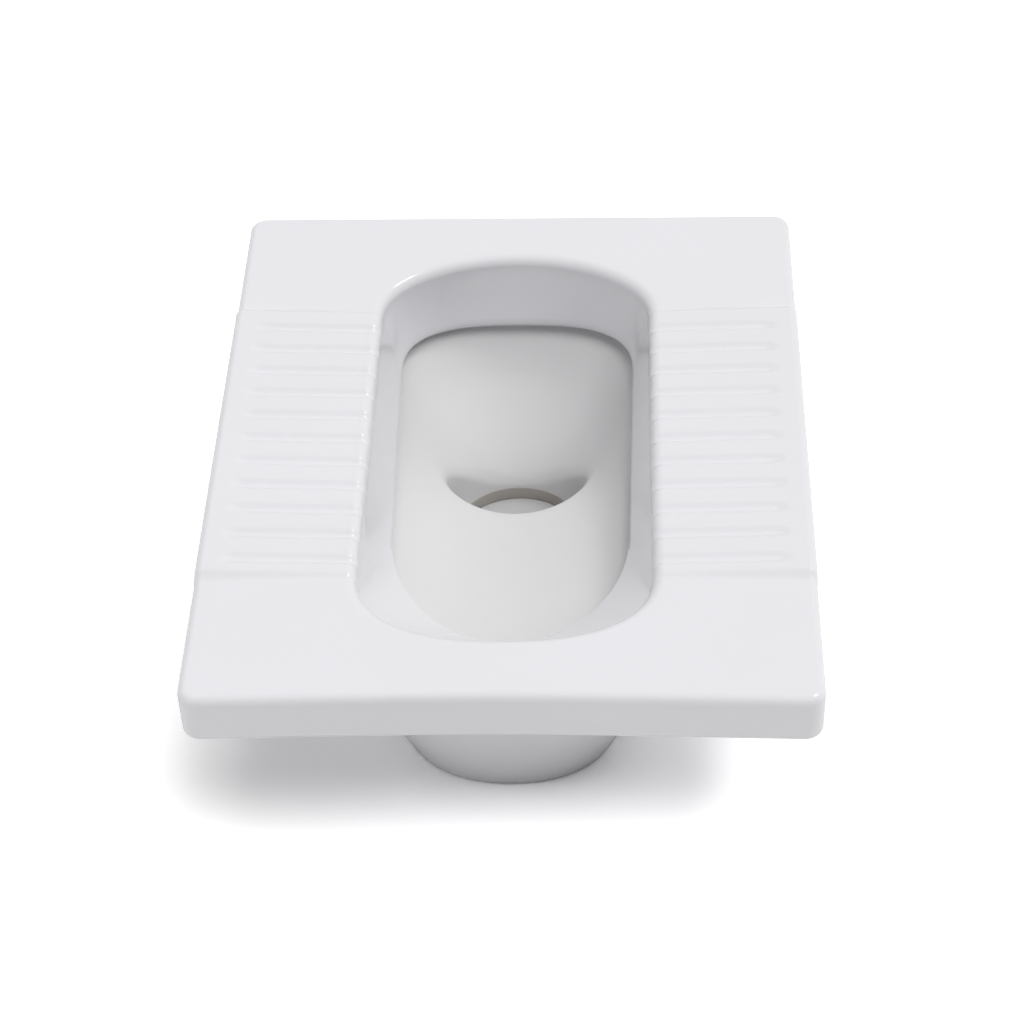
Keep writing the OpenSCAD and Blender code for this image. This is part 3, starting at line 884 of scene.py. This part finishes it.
def make_spreader(s):
    """The wedge behind the apron that splits the flush."""
    lip, opening = lip_outline(s), opening_outline(s)
    half = SPREADER_HIGH[0]
    rings = []
    levels = 8
    for k in range(levels + 1):
        t = k / levels
        back = grow(mix_outline(lip, opening, t), mix(s.apron.wall, s.apron.seam, t))
        y = back.back_y + back.back_end + FIT
        z = mix(SPREADER_LOW[2], SPREADER_HIGH[2], t)
        corners = [(-half, y), (half, y), (0.0, y + s.base.channel / 2)]
        rings.append([(px, py, z) for px, py in soft_corners(corners, SMALL_ROUND, steps=3)])
    return sweep("china_spreader", rings, capped=True)


def make_ribs(s):
    """Four ribs under the deck, from the base out to the skirt."""
    plate_z, low_z = DECK_HIGH[2] - s.deck.wall, RIB_LOW[2]
    skirt_x = DECK_HIGH[0] - s.deck.wall
    half, soft = s.deck.rib / 2, s.deck.rib_round
    rib_y = RIB_HIGH[1] - half
    side_steps, slant = 6, 0.25
    heights = [mix(plate_z, low_z, k / side_steps) for k in range(side_steps + 1)]
    profile = [(base_outline(s, z).back_half + 2 * FIT, z) for z in heights]
    profile += [(skirt_x, mix(low_z, plate_z, slant)), (skirt_x, plate_z)]
    layers = ((soft, -half), (0, soft - half), (0, half - soft), (soft, half))
    ribs = []
    for side in (1, -1):
        for middle in (rib_y, -rib_y):
            rings = []
            for lift, y in layers:
                rings.append([
                    (side * x, middle + y, z + (lift if z < plate_z - 2 * half else 0))
                    for x, z in profile])
            ribs.append(sweep("china_ribs", rings, capped=True))
    bpy.ops.object.select_all(action="DESELECT")
    for rib in ribs:
        rib.select_set(True)
    bpy.context.view_layer.objects.active = ribs[0]
    bpy.ops.object.join()
    return ribs[0]


# Glazes ----------------------------------------------------------------------------------


def add_node(tree, kind, values=None):
    """A new node with some of its inputs set."""
    node = tree.nodes.new(kind)
    for name, value in (values or {}).items():
        node.inputs[name].default_value = value
    return node


def glaze_group():
    """Node group: how a fired glaze pools, thins and ripples over the body under it."""
    name = "Glaze pooling"
    if name in bpy.data.node_groups:
        return bpy.data.node_groups[name]
    group = bpy.data.node_groups.new(name, "ShaderNodeTree")
    for label, kind, default in (
            ("Thick", "NodeSocketColor", (0.8, 0.8, 0.8, 1)),
            ("Thin", "NodeSocketColor", (0.78, 0.78, 0.77, 1)),
            ("Pool Scale", "NodeSocketFloat", 6.0),
            ("Gloss", "NodeSocketFloat", 0.12),
            ("Gloss Spread", "NodeSocketFloat", 0.05),
            ("Ripple", "NodeSocketFloat", 0.1)):
        socket = group.interface.new_socket(name=label, in_out="INPUT", socket_type=kind)
        socket.default_value = default
    for label, kind in (
            ("Color", "NodeSocketColor"), ("Roughness", "NodeSocketFloat"),
            ("Normal", "NodeSocketVector")):
        group.interface.new_socket(name=label, in_out="OUTPUT", socket_type=kind)
    links = group.links
    given = add_node(group, "NodeGroupInput")
    result = add_node(group, "NodeGroupOutput")
    place = add_node(group, "ShaderNodeTexCoord")
    pool = add_node(group, "ShaderNodeTexNoise", {"Detail": 3.0, "Roughness": 0.45})
    haze = add_node(group, "ShaderNodeTexNoise", {"Scale": 38.0, "Detail": 4.0})
    peel = add_node(group, "ShaderNodeTexNoise", {"Scale": 55.0, "Detail": 2.0})
    for noise in (pool, haze, peel):
        links.new(place.outputs["Object"], noise.inputs["Vector"])

    links.new(given.outputs["Pool Scale"], pool.inputs["Scale"])
    spread = add_node(group, "ShaderNodeMapRange", {"From Min": 0.3, "From Max": 0.7})
    links.new(pool.outputs["Fac"], spread.inputs["Value"])
    tint = add_node(group, "ShaderNodeMix")
    tint.data_type = "RGBA"
    links.new(spread.outputs["Result"], tint.inputs["Factor"])
    links.new(given.outputs["Thin"], tint.inputs[6])
    links.new(given.outputs["Thick"], tint.inputs[7])
    links.new(tint.outputs[2], result.inputs["Color"])

    gloss = add_node(group, "ShaderNodeMath")
    gloss.operation = "MULTIPLY_ADD"
    links.new(haze.outputs["Fac"], gloss.inputs[0])
    links.new(given.outputs["Gloss Spread"], gloss.inputs[1])
    links.new(given.outputs["Gloss"], gloss.inputs[2])
    links.new(gloss.outputs[0], result.inputs["Roughness"])

    ripple = add_node(group, "ShaderNodeBump", {"Distance": 0.0004})
    links.new(given.outputs["Ripple"], ripple.inputs["Strength"])
    links.new(peel.outputs["Fac"], ripple.inputs["Height"])
    links.new(ripple.outputs["Normal"], result.inputs["Normal"])
    return group


def glaze(name, colour, thin, pool_scale, gloss, gloss_spread, ripple, coat):
    """A glazed china: thin is the colour's share where the glaze is thin."""
    if name in bpy.data.materials:
        return bpy.data.materials[name]
    material = bpy.data.materials.new(name)
    material.use_nodes = True
    tree = material.node_tree
    shader = tree.nodes["Principled BSDF"]
    pooling = add_node(tree, "ShaderNodeGroup")
    pooling.node_tree = glaze_group()
    for socket, value in (
            ("Thick", (*colour, 1)), ("Thin", (*(c * t for c, t in zip(colour, thin)), 1)),
            ("Pool Scale", pool_scale), ("Gloss", gloss), ("Gloss Spread", gloss_spread),
            ("Ripple", ripple)):
        pooling.inputs[socket].default_value = value
    for output, socket in (
            ("Color", "Base Color"), ("Roughness", "Roughness"), ("Normal", "Normal")):
        tree.links.new(pooling.outputs[output], shader.inputs[socket])
    shader.inputs["IOR"].default_value = 1.52
    shader.inputs["Coat Weight"].default_value = coat
    shader.inputs["Coat Roughness"].default_value = 0.04
    return material


def china_glaze(s):
    """Gloss white with a cool cast."""
    return glaze(
        "Glazed china", s.glaze.china, thin=(0.985, 0.985, 0.98), pool_scale=5.0,
        gloss=s.glaze.roughness, gloss_spread=0.05, ripple=0.10, coat=0.25)


def tread_glaze(s):
    """The white of the deck, a little more rippled over the ribs."""
    return glaze(
        "Tread glaze", s.glaze.china, thin=(0.985, 0.985, 0.98), pool_scale=5.0,
        gloss=s.glaze.roughness + 0.02, gloss_spread=0.06, ripple=0.12, coat=0.25)


def bowl_glaze_painted_shade(s):
    """A less shiny white, without the cool cast, darkened as painted shade for the hollow of the
    bowl.
    """
    return glaze(
        "Bowl glaze", s.glaze.bowl, thin=(0.985, 0.985, 0.975), pool_scale=6.0,
        gloss=s.glaze.roughness + 0.15, gloss_spread=0.05, ripple=0.10, coat=0.0)


def fired_body_and_painted_shade(s):
    """The dull body at the pan's hidden ends, its colour darkened partly as painted shade inside
    the outlet.
    """
    return glaze(
        "Thinly glazed body", s.glaze.body, thin=(0.95, 0.94, 0.92), pool_scale=22.0,
        gloss=0.42, gloss_spread=0.25, ripple=0.5, coat=0.0)


# Studio ----------------------------------------------------------------------------------


def floor_paper(s):
    """White paper, whitened for the camera alone, with painted shade darkening it below the
    outlet.
    """
    paper = bpy.data.materials.new("Floor paper")
    paper.use_nodes = True
    tree, links = paper.node_tree, paper.node_tree.links
    shader = tree.nodes["Principled BSDF"]
    shader.inputs["Roughness"].default_value = 0.9
    shader.inputs["Specular IOR Level"].default_value = 0.0
    seen = add_node(tree, "ShaderNodeLightPath")
    white = add_node(tree, "ShaderNodeMapRange", {
        "To Min": FLOOR_WHITE, "To Max": FLOOR_WHITE * s.studio.floor})
    links.new(seen.outputs["Is Camera Ray"], white.inputs["Value"])
    # painted shade: the floor is darkened in a disc under the outlet, standing in for the shade
    # seen through it
    place = add_node(tree, "ShaderNodeTexCoord")
    away = add_node(tree, "ShaderNodeVectorMath")
    away.operation = "DISTANCE"
    away.inputs[1].default_value = (0, (COLLAR_LOW[1] + COLLAR_HIGH[1]) / 2, 0)
    links.new(place.outputs["Object"], away.inputs[0])
    drain = add_node(tree, "ShaderNodeMapRange", {
        "From Min": COLLAR_HIGH[0] - s.bowl.outlet_wall, "From Max": COLLAR_HIGH[0],
        "To Min": s.studio.drain})
    links.new(away.outputs["Value"], drain.inputs["Value"])
    colour = add_node(tree, "ShaderNodeMath")
    colour.operation = "MULTIPLY"
    links.new(white.outputs["Result"], colour.inputs[0])
    links.new(drain.outputs["Result"], colour.inputs[1])
    links.new(colour.outputs[0], shader.inputs["Base Color"])
    return paper


def make_room(s):
    """A white room that only the gloss and the camera see."""
    world = bpy.data.worlds.new("Studio")
    world.use_nodes = True
    back = world.node_tree.nodes["Background"]
    back.inputs["Color"].default_value = (1.0, 1.0, 1.0, 1)
    back.inputs["Strength"].default_value = s.studio.around
    world.cycles_visibility.diffuse = False
    return world


def add_lamp(lamp):
    """A distant lamp; side goes round from the front, 0, over the right, 90, in degrees."""
    turn, rise = math.radians(lamp.side), math.radians(lamp.height)
    toward = Vector((
        math.sin(turn) * math.cos(rise), -math.cos(turn) * math.cos(rise), math.sin(rise)))
    bpy.ops.object.light_add(type="SUN", location=2 * toward)
    light = bpy.context.object
    light.name = lamp.name
    light.data.energy = lamp.strength
    light.data.angle = math.radians(lamp.softness)
    light.visible_glossy = lamp.in_gloss
    light.rotation_euler = toward.to_track_quat("Z", "Y").to_euler()


# Operators -------------------------------------------------------------------------------


class PAN_OT_camera(bpy.types.Operator):
    """Place the camera at the photograph's viewing angle"""

    bl_idname = "pan.camera"
    bl_label = "Camera"

    def execute(self, context):
        aim = context.scene.pan.camera
        bpy.ops.object.select_all(action="DESELECT")
        bpy.ops.object.camera_add()
        camera = context.object
        camera.name = "Camera"
        camera.data.lens = aim.lens
        camera.data.sensor_width = 36.0
        camera.data.clip_end = 50.0
        camera.location = aim.place
        look = Euler((math.pi / 2 - aim.pitch, 0, -aim.yaw), "XYZ").to_quaternion()
        lean = Euler((0, 0, aim.roll), "XYZ").to_quaternion()
        camera.rotation_euler = (look @ lean).to_euler()
        context.scene.camera = camera
        return {"FINISHED"}


class PAN_OT_deck(bpy.types.Operator):
    """Model the deck with its skirt and the seats of the treads"""

    bl_idname = "pan.deck"
    bl_label = "Deck"

    def execute(self, context):
        s = context.scene.pan
        finish_piece(make_deck(s), ["deck"], china_glaze(s))
        return {"FINISHED"}


class PAN_OT_treads(bpy.types.Operator):
    """Model the two ribbed foot treads"""

    bl_idname = "pan.treads"
    bl_label = "Treads"

    def execute(self, context):
        s = context.scene.pan
        for name, node, side in (
                ("china_right_tread", "right_tread", 1), ("china_left_tread", "left_tread", -1)):
            finish_piece(make_tread(s, name, side), [node], tread_glaze(s))
        return {"FINISHED"}


class PAN_OT_apron(bpy.types.Operator):
    """Model the rolled edge of the opening and the apron under it"""

    bl_idname = "pan.apron"
    bl_label = "Rim apron"

    def execute(self, context):
        s = context.scene.pan
        finish_piece(make_apron(s), ["rim_apron"], china_glaze(s))
        return {"FINISHED"}


class PAN_OT_bowl(bpy.types.Operator):
    """Model the bowl with its shelf, scoop and throat, and the channel round it"""

    bl_idname = "pan.bowl"
    bl_label = "Bowl"

    def execute(self, context):
        s = context.scene.pan
        finish_piece(make_bowl(s), ["bowl"], bowl_glaze_painted_shade(s))
        finish_piece(make_channel(s), ["channel_floor"], bowl_glaze_painted_shade(s))
        finish_piece(make_spreader(s), ["flush_spreader"], bowl_glaze_painted_shade(s))
        return {"FINISHED"}


class PAN_OT_drain(bpy.types.Operator):
    """Model the outlet collar and the flush inlet"""

    bl_idname = "pan.drain"
    bl_label = "Outlet and inlet"

    def execute(self, context):
        s = context.scene.pan
        finish_piece(make_collar(s), ["outlet_collar"], fired_body_and_painted_shade(s))
        finish_piece(make_inlet(s), ["flush_inlet"], fired_body_and_painted_shade(s))
        return {"FINISHED"}


class PAN_OT_base(bpy.types.Operator):
    """Model the base, its foot ring and the ribs under the deck"""

    bl_idname = "pan.base"
    bl_label = "Base"

    def execute(self, context):
        s = context.scene.pan
        nodes = ["base_front", "base_back", "base_left", "base_right"]
        finish_piece(make_base(s), nodes, china_glaze(s))
        finish_piece(make_foot(s), ["foot_ring"], fired_body_and_painted_shade(s))
        finish_piece(make_ribs(s), ["deck_ribs"], fired_body_and_painted_shade(s))
        return {"FINISHED"}


class PAN_OT_studio(bpy.types.Operator):
    """Lay the pale floor and set the soft studio light"""

    bl_idname = "pan.studio"
    bl_label = "Studio"

    def execute(self, context):
        s = context.scene.pan
        bpy.ops.object.select_all(action="DESELECT")
        bpy.ops.mesh.primitive_plane_add(size=12.0, location=(0, 0, 0))
        floor = context.object
        floor.name = "Floor"
        floor.data.materials.append(floor_paper(s))
        context.scene.world = make_room(s)
        for lamp in (
                Lamp("Key", 140, 55, 104, s.studio.key, False),
                Lamp("Right", 40, 65, 28, s.studio.right, False),
                Lamp("Front", 0, 75, 28, s.studio.front, False),
                Lamp("Low", 280, 15, 28, s.studio.low, False),
                Lamp("Glint", 115, 60, 14, s.studio.glint, True)):
            add_lamp(lamp)
        context.scene.view_settings.view_transform = "Standard"
        return {"FINISHED"}


class PAN_PT_panel(bpy.types.Panel):
    """Buttons that build the pan, piece by piece"""

    bl_label = "Squat Pan"
    bl_idname = "PAN_PT_panel"
    bl_space_type = "VIEW_3D"
    bl_region_type = "UI"
    bl_category = "Squat Pan"

    def draw(self, context):
        for operator in OPERATORS:
            self.layout.operator(operator.bl_idname)


SETTINGS = (
    PanDeck, PanTreads, PanApron, PanBowl, PanBase, PanGlaze, PanCamera, PanStudio,
    PanSettings)
OPERATORS = (
    PAN_OT_camera, PAN_OT_deck, PAN_OT_treads, PAN_OT_apron, PAN_OT_bowl, PAN_OT_drain,
    PAN_OT_base, PAN_OT_studio)


def register():
    for item in SETTINGS + OPERATORS + (PAN_PT_panel,):
        bpy.utils.register_class(item)
    bpy.types.Scene.pan = PointerProperty(type=PanSettings)


def unregister():
    del bpy.types.Scene.pan
    for item in reversed(SETTINGS + OPERATORS + (PAN_PT_panel,)):
        bpy.utils.unregister_class(item)


def main():
    register()
    bpy.ops.pan.camera()
    bpy.ops.pan.deck()
    bpy.ops.pan.treads()
    bpy.ops.pan.apron()
    bpy.ops.pan.bowl()
    bpy.ops.pan.drain()
    bpy.ops.pan.base()
    bpy.ops.pan.studio()


if __name__ == "__main__":
    main()
